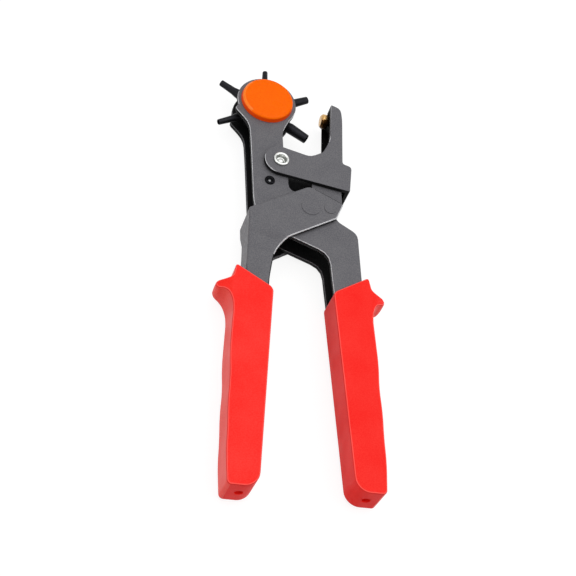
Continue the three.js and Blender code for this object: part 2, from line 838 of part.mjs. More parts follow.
function returnSpring() {
  const points = springPath();
  const path = new THREE.CatmullRomCurve3(points, false, "centripetal");
  const section = new THREE.Shape();
  for (let side = 0; side < springSides; side += 1) {
    const angle = (2 * Math.PI * side) / springSides;
    const corner = [Math.cos(angle) * springWire / 2, Math.sin(angle) * springWire / 2];
    if (side === 0) section.moveTo(...corner);
    else section.lineTo(...corner);
  }
  section.closePath();
  const steps = (points.length - 1) * 2;
  return solid(new THREE.ExtrudeGeometry(section, { steps, extrudePath: path, bevelEnabled: false }));
}
add("return_spring", returnSpring(), brightSteel);

// Grips: moulded covers with a guard horn, pushed over the tangs
function gripOutline(side, shares) {
  return roundedShape(shares.map(([across, down, corner]) => [
    ...handlePoint(side, gripInner + across * gripWidth, down * gripLength),
    corner * gripWidth,
  ]));
}

// The horn gets evenly thinner from its root to its tip
function hornSolid(side) {
  const geometry = new THREE.ExtrudeGeometry(gripOutline(side, hornShares), {
    depth: gripThick - 2 * hornRound,
    bevelEnabled: true,
    bevelThickness: hornRound,
    bevelSize: hornEdge,
    bevelOffset: -hornEdge,
    bevelSegments: 3,
    curveSegments: cornerSteps,
  });
  geometry.translate(0, 0, hornRound - gripThick / 2);
  const acrosses = hornShares.map(([across]) => across);
  const root = Math.min(...acrosses);
  const reach = Math.max(...acrosses) - root;
  const spots = geometry.attributes.position;
  for (let index = 0; index < spots.count; index += 1) {
    const out = side * (spots.getX(index) - handleMiddle);
    const along = ((out - gripInner) / gripWidth - root) / reach;
    spots.setZ(index, middleZ + spots.getZ(index) * (1 - (1 - hornTipDepthShare) * along));
  }
  return solid(geometry);
}

function gripSolid(side) {
  const geometry = new THREE.ExtrudeGeometry(gripOutline(side, gripShares), {
    depth: gripThick - 2 * gripEdge,
    bevelEnabled: true,
    bevelThickness: gripEdge,
    bevelSize: gripEdge,
    bevelSegments: 2,
    curveSegments: cornerSteps,
  });
  geometry.translate(0, 0, middleZ - gripThick / 2 + gripEdge);
  const [inner, outer] = tangEnd(side, fitGap);
  const mouth = side === sides.right
    ? [place(frameInnerShares).at(-1), place(frameOuterShares)[0]]
    : [place(leverHeadShares).at(-1), place(leverBackShares)[0]];
  const pocket = slab([
    [mouth[0][0] - side * fitGap, mouth[0][1], mouth[0][2]],
    inner,
    outer,
    [mouth[1][0] + side * fitGap, mouth[1][1], mouth[1][2]],
    [mouth[1][0] + side * fitGap, mouth[1][1] + overrun * 2, 0],
    [mouth[0][0] - side * fitGap, mouth[0][1] + overrun * 2, 0],
  ], rearLow - fitGap, fitGap);
  const middle = (gripEndInner + gripEndOuter) / 2;
  const [holeX, holeY] = handlePoint(side, middle, gripLength);
  const hole = new THREE.CylinderGeometry(gripHoleRadius, gripHoleRadius, 2 * gripHoleDepth, holeSteps);
  hole.translate(holeX, holeY, middleZ);
  return solid(geometry).add(hornSolid(side)).subtract(pocket).subtract(solid(hole));
}
add("right_grip", gripSolid(sides.right), redRubber);
add("left_grip", gripSolid(sides.left), redRubber);

// The origin goes to the middle of the underside
const box = new THREE.Box3().setFromObject(punch);
const middle = box.getCenter(new THREE.Vector3());
punch.position.set(-middle.x, -middle.y, -box.min.z);

export default punch;
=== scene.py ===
# %% [markdown]
# # A revolving leather punch
# The tool has two stamped steel plates with a turret of six punch tubes between them, a jaw
# with a brass anvil, a crossing lever, and two moulded red grips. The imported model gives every
# part its place and its joints. The cells below dress it: each one makes pieces or finishes
# of one kind, and says how the real thing is made.

import json
import math

import bmesh
import bpy
from mathutils import Matrix, Vector


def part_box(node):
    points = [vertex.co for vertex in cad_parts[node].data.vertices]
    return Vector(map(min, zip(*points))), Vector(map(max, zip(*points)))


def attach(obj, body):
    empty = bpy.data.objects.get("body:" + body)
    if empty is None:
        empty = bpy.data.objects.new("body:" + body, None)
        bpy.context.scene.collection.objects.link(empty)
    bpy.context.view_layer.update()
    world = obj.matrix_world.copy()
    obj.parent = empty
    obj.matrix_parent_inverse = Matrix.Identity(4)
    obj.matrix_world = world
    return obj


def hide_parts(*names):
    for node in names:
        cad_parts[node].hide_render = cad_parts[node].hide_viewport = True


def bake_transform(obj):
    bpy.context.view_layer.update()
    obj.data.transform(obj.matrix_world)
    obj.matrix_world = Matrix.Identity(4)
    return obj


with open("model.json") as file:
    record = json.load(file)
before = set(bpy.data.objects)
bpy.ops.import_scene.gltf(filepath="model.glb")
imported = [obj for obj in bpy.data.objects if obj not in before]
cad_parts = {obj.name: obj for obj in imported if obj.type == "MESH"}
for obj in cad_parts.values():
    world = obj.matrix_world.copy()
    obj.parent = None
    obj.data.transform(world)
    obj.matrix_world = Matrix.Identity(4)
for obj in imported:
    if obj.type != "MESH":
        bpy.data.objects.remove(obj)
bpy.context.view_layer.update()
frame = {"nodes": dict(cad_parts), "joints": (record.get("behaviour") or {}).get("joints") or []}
nodes = frame["nodes"]
pivots = {joint["name"]: Vector(joint["pos_m"]) for joint in frame["joints"]}
MM = 0.001

# %% [markdown]
# ## Camera
# A camera was fitted to the photograph through the corners of the grips, the pivots and the
# tubes. Blender's camera looks down its own -Z, so its place and its three turns are enough.
# The lens follows from the same fit: a long lens, held about 60 cm away.

# %% Camera
camera_data = bpy.data.cameras.new("camera")
camera_data.lens = 74.697
camera_data.sensor_width = 36
camera_data.clip_start = 0.01
camera = bpy.data.objects.new("camera", camera_data)
camera.location = (-0.131756, -0.305805, 0.452915)
camera.rotation_euler = [math.radians(angle) for angle in (32.6271, -15.5139, -0.7499)]
bpy.context.scene.collection.objects.link(camera)
bpy.context.scene.camera = camera
bpy.context.scene.view_settings.view_transform = "Standard"
print("camera at", tuple(camera.location))

# %% [markdown]
# ## Colours and nodes
# Colours are written as a designer writes them, in sRGB hex. Cycles works in linear light, so
# one function turns them. One more function adds a shader node, sets its values and links it,
# so that each finish below reads as a list of what it is made of. Sockets are named, or given
# by number where a node has several of one name, as the Mix node does: 0 is its factor, and
# 6 and 7 are its two colours.


# %% Helpers for materials
def linear(code):
    channels = [int(code[i : i + 2], 16) / 255 for i in (0, 2, 4)]
    levels = [c / 12.92 if c <= 0.04045 else ((c + 0.055) / 1.055) ** 2.4 for c in channels]
    return (*levels, 1.0)


def add(material, kind, sockets, settings=None):
    node = material.node_tree.nodes.new(kind)
    for name, value in (settings or {}).items():
        setattr(node, name, value)
    for name, value in sockets.items():
        if isinstance(value, bpy.types.NodeSocket):
            material.node_tree.links.new(value, node.inputs[name])
        else:
            node.inputs[name].default_value = value
    return node


def started(name):
    material = bpy.data.materials.new(name)
    material.use_nodes = True
    material.node_tree.nodes.clear()
    place = add(material, "ShaderNodeTexCoord", {}).outputs["Object"]
    return material, place


def finished(material, shader):
    add(material, "ShaderNodeOutputMaterial", {"Surface": shader.outputs[0]})
    print("finish:", material.name)
    return material


# %% [markdown]
# ## Powder coat
# The plates are stamped from steel sheet, sprayed with grey powder and baked until it flows.
# It flows almost flat and leaves a slight orange peel, about 1.4 mm from crest to crest, and
# a fine grit, drawn at 0.5 mm because the real 0.1 mm wouldn't show. The colour is nearly
# even: speckled by the grit, and a little cloudy over several millimetres. One noise of each
# size gives all three.


# %% Powder coat
def powder_coat(name, colour, cloud, rough_low, rough_high, gloss=0.3):
    coat, place = started(name)
    clouds = add(coat, "ShaderNodeTexNoise", {"Vector": place, "Scale": 1 / (9 * MM), "Detail": 2.0})
    peel = add(coat, "ShaderNodeTexNoise", {"Vector": place, "Scale": 1 / (1.4 * MM), "Detail": 1.0})
    grit = add(coat, "ShaderNodeTexNoise", {"Vector": place, "Scale": 1 / (0.5 * MM), "Detail": 0.0})
    mottle = add(
        coat,
        "ShaderNodeMath",
        {0: clouds.outputs["Fac"], 1: 0.4, 2: grit.outputs["Fac"]},
        {"operation": "MULTIPLY_ADD"},
    )
    mottle = add(coat, "ShaderNodeMapRange", {"Value": mottle.outputs[0], 1: 0.45, 2: 0.95, 3: 0, 4: 1})
    shade = add(
        coat,
        "ShaderNodeMix",
        {0: mottle.outputs[0], 6: linear(colour), 7: linear(cloud)},
        {"data_type": "RGBA"},
    )
    rough = add(
        coat,
        "ShaderNodeMapRange",
        {"Value": peel.outputs["Fac"], 1: 0.3, 2: 0.7, 3: rough_low, 4: rough_high},
    )
    relief = add(
        coat,
        "ShaderNodeMath",
        {0: peel.outputs["Fac"], 1: 0.6, 2: grit.outputs["Fac"]},
        {"operation": "MULTIPLY_ADD"},
    )
    bump = add(
        coat,
        "ShaderNodeBump",
        {"Height": relief.outputs[0], "Strength": 0.6, "Distance": 0.06 * MM},
    )
    shader = add(
        coat,
        "ShaderNodeBsdfPrincipled",
        {
            "Base Color": shade.outputs[2],
            "Roughness": rough.outputs[0],
            "Specular IOR Level": gloss,
            "IOR": 1.5,
            "Normal": bump.outputs[0],
        },
    )
    return finished(coat, shader)


grey_coat = powder_coat("baked grey powder coat", "545358", "676669", 0.42, 0.55)
# A lighter coat for the rounded edges, which is a painted highlight
edge_highlight_coat = powder_coat("powder coat with painted edge highlight", "A4A4A8", "DCDCDE", 0.25, 0.38)
# Near black paint for painted shade between the plates and on the punched edges
near_black_shade = powder_coat("near black painted shade", "0B0B0C", "101011", 0.5, 0.65, 0.12)

# %% [markdown]
# ## Metals
# The tubes, hub and small rivet are blackened in a hot bath, which leaves a dark steel, and the rivet's head
# has a painted highlight in its pit. The jaw's bolt, washers and springs are bright zinc plate. The anvil is
# turned brass, with painted shade on its faces that look down. A metal's colour is its reflection, so each
# is fully metallic, and only its roughness varies, in grains drawn coarse enough to show.


# %% Metals
def metal(name, colour, tarnish, grain, rough_low, rough_high, depth):
    plate, place = started(name)
    grains = add(plate, "ShaderNodeTexNoise", {"Vector": place, "Scale": 1 / grain, "Detail": 3.0})
    stains = add(plate, "ShaderNodeTexNoise", {"Vector": place, "Scale": 1 / (3 * MM), "Detail": 2.0})
    shade = add(
        plate,
        "ShaderNodeMix",
        {0: stains.outputs["Fac"], 6: linear(colour), 7: linear(tarnish)},
        {"data_type": "RGBA"},
    )
    rough = add(
        plate,
        "ShaderNodeMapRange",
        {"Value": grains.outputs["Fac"], 1: 0.3, 2: 0.7, 3: rough_low, 4: rough_high},
    )
    bump = add(
        plate,
        "ShaderNodeBump",
        {"Height": grains.outputs["Fac"], "Strength": 0.3, "Distance": depth},
    )
    shader = add(
        plate,
        "ShaderNodeBsdfPrincipled",
        {
            "Base Color": shade.outputs[2],
            "Metallic": 1.0,
            "Roughness": rough.outputs[0],
            "Normal": bump.outputs[0],
        },
    )
    return finished(plate, shader)


black_oxide = metal("black oxide steel", "1C1C1F", "262629", 0.5 * MM, 0.32, 0.5, 0.01 * MM)
pressed_black = metal("pressed black steel", "0E0E10", "161618", 0.4 * MM, 0.14, 0.24, 0.006 * MM)
rivet_highlight_steel = metal("black steel with painted highlight", "5A5A5C", "707072", 0.4 * MM, 0.2, 0.3, 0.006 * MM)
bright_zinc = metal("bright zinc plate", "D2D3D2", "B9BBB6", 0.6 * MM, 0.12, 0.3, 0.01 * MM)
turned_brass = metal("turned brass", "DDB67C", "B88F56", 0.8 * MM, 0.22, 0.32, 0.004 * MM)
brass_painted_shade = metal("brass with painted shade", "4A3014", "38220C", 0.8 * MM, 0.3, 0.42, 0.006 * MM)

# %% [markdown]
# ## Moulded plastics
# The grips are soft PVC, moulded in a lightly blasted steel mould. That leaves a satin skin:
# a fine grain about 0.6 mm wide, and slow changes in gloss where the plastic shrank from the
# mould. The cap is hard, polished polypropylene with a warmer, even colour and a sharper
# gleam. Both are plastics, so they are not metallic and keep an IOR near 1.5.


# %% Moulded plastics
def moulded(name, colour, flow, rough_low, rough_high, grain, depth, gloss):
    skin, place = started(name)
    grains = add(skin, "ShaderNodeTexNoise", {"Vector": place, "Scale": 1 / grain, "Detail": 1.0})
    flows = add(skin, "ShaderNodeTexNoise", {"Vector": place, "Scale": 1 / (14 * MM), "Detail": 2.0})
    mottle = add(
        skin,
        "ShaderNodeMath",
        {0: flows.outputs["Fac"], 1: 0.5, 2: grains.outputs["Fac"]},
        {"operation": "MULTIPLY_ADD"},
    )
    mottle = add(skin, "ShaderNodeMapRange", {"Value": mottle.outputs[0], 1: 0.5, 2: 1.0, 3: 0, 4: 1})
    shade = add(
        skin,
        "ShaderNodeMix",
        {0: mottle.outputs[0], 6: linear(colour), 7: linear(flow)},
        {"data_type": "RGBA"},
    )
    rough = add(
        skin,
        "ShaderNodeMapRange",
        {"Value": flows.outputs["Fac"], 1: 0.3, 2: 0.7, 3: rough_low, 4: rough_high},
    )
    bump = add(
        skin,
        "ShaderNodeBump",
        {"Height": grains.outputs["Fac"], "Strength": 0.3, "Distance": depth},
    )
    shader = add(
        skin,
        "ShaderNodeBsdfPrincipled",
        {
            "Base Color": shade.outputs[2],
            "Roughness": rough.outputs[0],
            "Specular IOR Level": gloss,
            "IOR": 1.49,
            "Normal": bump.outputs[0],
        },
    )
    return finished(skin, shader)


red_pvc = moulded("moulded red PVC", "FF3329", "FD1C14", 0.4, 0.52, 0.6 * MM, 0.03 * MM, 0.15)
deep_pvc = moulded("deeper red PVC", "FC2B20", "F9140B", 0.4, 0.52, 0.6 * MM, 0.03 * MM, 0.15)
# The rounded edge of each face gets a painted highlight, and the line below it painted shade
pvc_edge_highlight = moulded("red PVC with painted edge highlight", "FF4A40", "FF443A", 0.3, 0.4, 0.6 * MM, 0.02 * MM, 0.4)
shaded_pvc = moulded("red PVC with painted edge shade", "E0140E", "D8120C", 0.4, 0.52, 0.6 * MM, 0.03 * MM, 0.2)
# The inner sides and ends get painted shade, and the outer sides a paler painted sheen
inner_pvc = moulded("red PVC with painted shade", "EC221A", "E21912", 0.4, 0.52, 0.6 * MM, 0.03 * MM, 0.1)
pvc_painted_sheen = moulded("red PVC with painted sheen", "EE4A40", "E63C33", 0.4, 0.5, 0.8 * MM, 0.04 * MM, 0.15)
orange_plastic = moulded(
    "polished orange polypropylene", "FF6C00", "FD6200", 0.25, 0.34, 0.8 * MM, 0.012 * MM, 0.05
)
shaded_orange = moulded(
    "orange polypropylene with painted shade", "F64E00", "EE4600", 0.3, 0.4, 0.8 * MM, 0.012 * MM, 0.1
)
orange_painted_highlight = moulded(
    "orange polypropylene with painted highlight", "FF8020", "FF7A18", 0.2, 0.28, 0.8 * MM, 0.01 * MM, 0.2
)

# %% [markdown]
# ## Floor and light
# A product photographer lays the tool on white and lights it with a large softbox overhead,
# a small one on each side, and a white ceiling. The world is the ceiling. The floor stays
# plain: as the camera and the shiny parts see it, most of its light is its own,
# so that it comes out near white and still keeps the tool's soft shadow.


# %% What sees the white
def seen_directly(owner):
    """1 for the camera, a reflection or a view through glass, and 0 for light on the tool."""
    rays = add(owner, "ShaderNodeLightPath", {}).outputs
    seen = rays["Is Camera Ray"]
    for ray in ("Is Glossy Ray", "Is Transmission Ray"):
        seen = add(owner, "ShaderNodeMath", {0: seen, 1: rays[ray]}, {"operation": "MAXIMUM"}).outputs[0]
    return seen


# %% Floor
floor_mesh = bpy.data.meshes.new("floor")
floor_bm = bmesh.new()
bmesh.ops.create_grid(floor_bm, x_segments=1, y_segments=1, size=3.0)
floor_bm.to_mesh(floor_mesh)
floor_bm.free()
floor = bpy.data.objects.new("floor", floor_mesh)
bpy.context.scene.collection.objects.link(floor)
paper, paper_place = started("white paper sweep")
paper_fibre = add(paper, "ShaderNodeTexNoise", {"Vector": paper_place, "Scale": 1 / (40 * MM)})
paper_shade = add(
    paper,
    "ShaderNodeMix",
    {0: paper_fibre.outputs["Fac"], 6: linear("F4F4F4"), 7: linear("F7F7F7")},
    {"data_type": "RGBA"},
)
lit_paper = add(paper, "ShaderNodeBsdfDiffuse", {"Color": paper_shade.outputs[2]})
own_light = add(paper, "ShaderNodeEmission", {"Color": (1, 1, 1, 1), "Strength": 1.1})
own_share = add(paper, "ShaderNodeMath", {0: seen_directly(paper), 1: 0.8}, {"operation": "MULTIPLY"})
paper_mix = add(
    paper, "ShaderNodeMixShader", {0: own_share.outputs[0], 1: lit_paper.outputs[0], 2: own_light.outputs[0]}
)
floor_mesh.materials.append(finished(paper, paper_mix))

# %% World and softboxes
world = bpy.data.worlds.new("studio")
bpy.context.scene.world = world
world.use_nodes = True
world.node_tree.nodes.clear()
ceiling = add(world, "ShaderNodeBackground", {"Color": (1, 1, 1, 1), "Strength": 0.42})
backdrop = add(world, "ShaderNodeBackground", {"Color": (1, 1, 1, 1), "Strength": 1.0})
studio = add(
    world, "ShaderNodeMixShader", {0: seen_directly(world), 1: ceiling.outputs[0], 2: backdrop.outputs[0]}
)
add(world, "ShaderNodeOutputWorld", {"Surface": studio.outputs[0]})


def softbox(name, place, target, size, power):
    lamp_data = bpy.data.lights.new(name, "AREA")
    lamp_data.shape = "RECTANGLE"
    lamp_data.size, lamp_data.size_y = size
    lamp_data.energy = power
    lamp = bpy.data.objects.new(name, lamp_data)
    lamp.location = place
    lamp.rotation_euler = (Vector(target) - Vector(place)).to_track_quat("-Z", "Y").to_euler()
    bpy.context.scene.collection.objects.link(lamp)
    print("lamp:", name, power, "W")
    return lamp


softbox("overhead softbox", (0.1, 0.1, 0.9), (0, 0, 0), (1.0, 1.0), 5.3)
softbox("right softbox", (0.7, -0.1, 0.4), (0, 0, 0), (0.4, 0.5), 1.0)
softbox("left softbox", (-0.7, -0.1, 0.25), (0, 0, 0), (0.4, 0.3), 0.9)

# %% [markdown]
# ## Making pieces
# The imported parts are exact but their edges are knife sharp. A real stamped edge is tumbled until it is
# round by 0.3 to 0.5 mm, and that line of light along each edge is what makes a part look real. So most
# metal parts become a copy of their solid with rounded edges. The copy is merged first, because the imported
# mesh is loose triangles, and flat triangles are joined into whole faces so that the rounding runs along
# real edges only. A piece rides on one body, except the return spring, which gets no body here.


# %% Helpers for pieces
def piece_from(bm, name, body, finishes, replaced):
    mesh = bpy.data.meshes.new(name)
    bm.to_mesh(mesh)
    bm.free()
    mesh.polygons.foreach_set("use_smooth", [True] * len(mesh.polygons))
    mesh.set_sharp_from_angle(angle=math.radians(38))
    piece = bpy.data.objects.new(name, mesh)
    bpy.context.scene.collection.objects.link(piece)
    for finish in finishes:
        mesh.materials.append(finish)
    even = piece.modifiers.new("even shading", "WEIGHTED_NORMAL")
    even.keep_sharp = True
    if body:
        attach(piece, body)
    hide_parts(*replaced)
    print("piece:", name, len(mesh.polygons), "faces on", body or "two bodies")
    return piece


def merged_copy(node):
    bm = bmesh.new()
    bm.from_mesh(nodes[node].data)
    bmesh.ops.remove_doubles(bm, verts=bm.verts, dist=0.002 * MM)
    bmesh.ops.dissolve_limit(
        bm, angle_limit=math.radians(0.8), verts=bm.verts, edges=bm.edges, use_dissolve_boundaries=False
    )
    bmesh.ops.dissolve_degenerate(bm, dist=0.1 * MM, edges=bm.edges)
    return bm


def is_corner(edge):
    return len(edge.link_faces) == 2 and edge.is_convex and edge.calc_face_angle(0) > math.radians(40)


def depth_of(face):
    heights = [vert.co.z for vert in face.verts]
    return max(heights) - min(heights)


def is_bend(edge):
    """Where a flat face of the sheet turns into a web, and not just into its own thickness."""
    if not is_corner(edge):
        return False
    flat = any(abs(face.normal.z) > 0.9 for face in edge.link_faces)
    return flat and max(depth_of(face) for face in edge.link_faces) > 6 * MM


def rounding(bm, edges, width, segments):
    return bmesh.ops.bevel(
        bm,
        geom=edges,
        offset=width,
        offset_type="OFFSET",
        segments=segments,
        profile=0.5,
        affect="EDGES",
        clamp_overlap=False,
        material=-1,
    )["faces"]


def rounded(bm, width, segments, leave=lambda edge: False):
    corners = [edge for edge in bm.edges if is_corner(edge) and not leave(edge)]
    return rounding(bm, corners, width, segments)


# %% [markdown]
# ## Stamped plates
# The frame's two plates, the jaw and the lever are all stamped from 2.2 mm sheet. They carry three finishes:
# the grey coat outside, a painted highlight along the front edges that look down and left, and near black
# painted shade on the punched edges and inside. The lever's far edge gets painted shade too. The inside
# faces are found by where they look: towards the tool's middle plane, or from a bent web into its channel.

# %% Plates
turret_low, turret_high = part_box("turret_hub")
middle_z = (turret_low[2] + turret_high[2]) / 2
highlight_side = Vector((-0.25, -0.97, 0))
# The opening between the jaw and the lever, round which the edges get no painted highlight
window, window_reach = pivots["turret_spin"] + Vector((16.6, -49.0, 0)) * MM, 12 * MM
cut_depth, web_depth, plate_clear, pin_clear = 3 * MM, 3.5 * MM, 4 * MM, 1 * MM
COAT, HIGHLIGHT, SHADE = 0, 1, 2


def around_a_pin(item):
    """Whether an edge or a face lies round a painted pin, where the coat fills the edges."""
    spot = sum((vert.co for vert in item.verts), Vector()) / len(item.verts)
    for pin in ("lever_pivot_pin", "drive_pin"):
        low, high = (Vector(corner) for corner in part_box(pin))
        if (spot - (low + high) / 2).xy.length < (high.x - low.x) / 2 + pin_clear:
            return True
    return False


def stamped(node, body, web_looks=0, bend=0, rim=0.26, coated_back=False, far_edge=COAT):
    """Web_looks is 1 or -1 where a bent web faces right or left, and 0 where there is none."""
    bm = merged_copy(node)
    bends = rounding(bm, [edge for edge in bm.edges if web_looks and is_bend(edge)], bend * MM, 6)
    rim_faces = rounded(bm, rim * MM, 2, leave=around_a_pin)
    rim_faces += [face for face in bends if face.is_valid and face.normal.x * web_looks > 0.3]
    # Painted shade: faces between the plates, inside a web's channel, on the punched edges and edges that
    # look down, and all of the rear plate but its back
    for face in bm.faces:
        offset = face.calc_center_median().z - middle_z
        faces_in = abs(offset) > plate_clear and face.normal.z * offset < -0.9 * abs(offset)
        in_channel = web_looks and depth_of(face) > web_depth and face.normal.x * web_looks > 0.4
        cut_edge = abs(face.normal.z) < 0.3 and (depth_of(face) < cut_depth or face.normal.y < -0.8)
        if cut_edge and around_a_pin(face):
            face.material_index = COAT
        elif faces_in or in_channel or cut_edge or (coated_back and face.normal.z > -0.5):
            face.material_index = SHADE
    # Rounded front rims that look down and left get a painted highlight, and those that look away get
    # far_edge, which is painted shade on the lever
    for face in rim_faces:
        if face.is_valid and face.normal.z > 0.3:
            spot = face.calc_center_median()
            in_reach = spot.z > middle_z and (spot - window).xy.length > window_reach
            if not in_reach:
                face.material_index = COAT
            else:
                face.material_index = HIGHLIGHT if face.normal.dot(highlight_side) > 0 else far_edge
    return piece_from(
        bm, node + "_steel", body, [grey_coat, edge_highlight_coat, near_black_shade], [node]
    )


stamped("frame_front_plate", "frame")
stamped("frame_rear_plate", "frame", coated_back=True)
stamped("anvil_jaw", "jaw", web_looks=-1, bend=0.35)
# The lever's far edges get painted shade, where the plate behind would lie in shadow
stamped("drive_lever", "lever", web_looks=1, bend=0.8, rim=0.5, far_edge=SHADE)

# %% [markdown]
# ## Painted pins
# The lever's pivot and the drive pin are flush rivets that went through the spray booth with
# the lever, so only a faint round line shows. They are rounded copies in the same coat, with
# their heads a little wider than the solids', because the coat nearly fills the gap.

# %% Painted pins
coat_fill, head_sink = 0.2 * MM, 0.02 * MM
for pin in ("lever_pivot_pin", "drive_pin"):
    pin_bm = merged_copy(pin)
    rounded(pin_bm, 0.04 * MM, 1)
    pin_low, pin_high = (Vector(corner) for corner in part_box(pin))
    axis, head_radius = (pin_low + pin_high) / 2, (pin_high.x - pin_low.x) / 2
    for vert in pin_bm.verts:
        outward = Vector((vert.co.x - axis.x, vert.co.y - axis.y, 0))
        if outward.length > head_radius - 0.1 * MM:
            vert.co += outward.normalized() * coat_fill
        vert.co.z = min(max(vert.co.z, pin_low.z + head_sink), pin_high.z - head_sink)
    pin_body = "frame" if pin == "lever_pivot_pin" else "lever"
    piece_from(pin_bm, pin + "_painted", pin_body, [grey_coat], [pin])

# %% [markdown]
# ## Turned pieces
# The cap, tubes, anvil, bolt and small rivet are all round. A round piece is drawn as half
# of its section, from the axis out and back, and spun once round. Its points are a radius and
# a height in millimetres, as on a lathe operator's drawing. A matrix then scales it to
# metres, turns its axis and sets it in place.


# %% Lathe
def lathe(profile, placement, steps=64):
    bm = bmesh.new()
    points = [bm.verts.new((radius, 0, height)) for radius, height in profile]
    edges = [bm.edges.new(pair) for pair in zip(points, points[1:])]
    bmesh.ops.spin(
        bm,
        geom=points + edges,
        cent=(0, 0, 0),
        axis=(0, 0, 1),
        angle=2 * math.pi,
        steps=steps,
        use_merge=True,
        use_duplicate=False,
    )
    bmesh.ops.remove_doubles(bm, verts=bm.verts, dist=0.0005)
    bmesh.ops.transform(bm, matrix=placement @ Matrix.Scale(MM, 4), verts=bm.verts)
    bmesh.ops.recalc_face_normals(bm, faces=bm.faces)
    return bm


def standing_at(centre, height):
    return Matrix.Translation((centre.x, centre.y, height))


# %% [markdown]
# ## Orange cap
# A moulded cap hides the axle's nut. It is 26 mm across, with a face that is nearly flat, a small round
# shoulder, and a wall that drafts outwards so that it leaves its mould. The wall is given a rougher finish
# with painted shade, and the left of the shoulder a painted highlight.

# %% Orange cap
cap_low, cap_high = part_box("turret_cap")
cap_profile = [
    (0, 3.0), (5.0, 2.98), (10.0, 2.93), (11.5, 2.86), (12.05, 2.74), (12.45, 2.5), (12.7, 2.15),
    (12.85, 1.5), (13.1, 0.1), (12.1, 0.1), (11.9, 1.4), (11.4, 1.75), (0, 1.8),
]
face_of_plate = cap_high[2] - 3.0 * MM
cap_bm = lathe(cap_profile, standing_at(pivots["turret_spin"], face_of_plate), 96)
cap_centre = pivots["turret_spin"]
# The wall gets painted shade, and the left of the shoulder a painted highlight
for face in cap_bm.faces:
    spot = face.calc_center_median()
    if (spot - cap_centre).xy.length > 12.6 * MM:
        face.material_index = 1
    elif (spot - cap_centre).xy.length > 11.5 * MM and spot.x < cap_centre.x - 8 * MM:
        face.material_index = 2
cap_finishes = [orange_plastic, shaded_orange, orange_painted_highlight]
piece_from(cap_bm, "orange_cap", "frame", cap_finishes, ["turret_cap"])

# %% [markdown]
# ## Punch tubes
# Each tube is turned from tool steel and pressed into the hub. It starts with a collar,
# sweeps in over a short flare, tapers slightly along its length, and ends in a ground edge
# round an open bore. The six differ only in the size of their edge, from 2.3 to 4.4 mm, so
# one profile serves them all.

# %% Punch tubes
tip_radii = [1.7, 1.15, 1.45, 1.25, 2.0, 2.2]
first_angle = 28


def tube_profile(tip):
    bore = tip - 0.25
    return [
        (min(bore, 1.7), 8.3), (2.2, 8.3), (2.2, 12.9), (2.6, 12.9), (2.85, 13.05), (2.9, 13.3),
        (2.75, 13.7), (tip + 0.9 * (2.5 - tip), 14.6), (tip + 0.4 + 0.4 * (2.5 - tip), 16.2),
        (tip + 0.42, 18.4), (tip + 0.28, 22.0), (tip + 0.16, 25.6), (tip + 0.08, 25.85),
        (bore + 0.1, 26.0), (bore, 25.9), (bore, 20.0), (min(bore, 1.7), 19.0), (min(bore, 1.7), 8.3),
    ]


hub_centre = Vector((pivots["turret_spin"].x, pivots["turret_spin"].y, middle_z))
for index, tip in enumerate(tip_radii):
    node = f"punch_tube_{index + 1}"
    angle = math.radians(first_angle + 60 * index)
    pointing = Matrix.Rotation(angle, 4, "Z") @ Matrix.Rotation(math.pi / 2, 4, "Y")
    tube_bm = lathe(tube_profile(tip), Matrix.Translation(hub_centre) @ pointing, 40)
    piece_from(tube_bm, node + "_turned", "turret", [black_oxide], [node])

# %% [markdown]
# ## Brass anvil
# The anvil is a turned brass plug, softer than the tubes so that it doesn't blunt them. Its
# face has a wide chamfer, and its shank is riveted into the horn's web. It leans down by 1.3
# degrees, so that it looks straight at a tube 3.7 degrees up once the jaw has turned by 5.

# %% Brass anvil
anvil_profile = [
    (0, 0), (2.8, 0), (2.95, 0.1), (3.6, 0.85), (3.7, 1.1), (3.7, 3.2), (3.55, 3.45), (3.3, 3.5),
    (2.0, 3.5), (2.0, 8.02), (0, 8.02),
]
anvil_place = Vector((29.595 * MM, -0.192 * MM, 0)) + hub_centre
anvil_turn = Matrix.Rotation(math.radians(-1.305), 4, "Z") @ Matrix.Rotation(math.pi / 2, 4, "Y")
anvil_bm = lathe(anvil_profile, Matrix.Translation(anvil_place) @ anvil_turn, 48)
# The faces that look down get painted shade
for face in anvil_bm.faces:
    if face.normal.y < -0.35:
        face.material_index = 1
piece_from(anvil_bm, "brass_anvil", "jaw", [turned_brass, brass_painted_shade], ["anvil"])

# %% [markdown]
# ## Jaw bolt and index rivet
# The jaw turns on a zinc plated bolt whose hollow head was spread by a press: a bright rolled rim round a
# pit, with a small dome left at the bottom. The index rivet below it is black and smaller, with the same
# kind of head and a painted highlight at the bottom of its pit. Both run through the whole tool.

# %% Jaw bolt and index rivet
bolt_profile = [
    (0, 0), (3.35, 0), (3.7, 0.15), (3.85, 0.5), (3.85, 0.9), (3.1, 0.9), (3.1, 20.2), (3.85, 20.2),
    (3.85, 20.75), (3.78, 21.05), (3.55, 21.24), (3.2, 21.3), (2.85, 21.2), (2.6, 20.95), (2.45, 20.5),
    (2.38, 19.2), (2.2, 18.65), (1.9, 18.5), (1.65, 18.75), (1.35, 19.35), (0.9, 19.65), (0, 19.75),
]
bolt_bm = lathe(bolt_profile, standing_at(pivots["jaw_swing"], 0), 48)
piece_from(bolt_bm, "jaw_bolt", "frame", [bright_zinc], ["jaw_pivot_bolt"])

rivet_profile = [
    (0, 3.6), (1.5, 3.6), (1.5, 17.7), (2.5, 17.7), (2.5, 17.85), (2.4, 18.12), (2.1, 18.32),
    (1.7, 18.4), (1.35, 18.32), (1.1, 18.05), (1.0, 17.75), (0.75, 17.68), (0.4, 17.85), (0, 17.95),
]
rivet_place = pivots["turret_spin"] + Vector((1.2042 * MM, -48.625 * MM, 0))
rivet_bm = lathe(rivet_profile, standing_at(rivet_place, 0), 40)
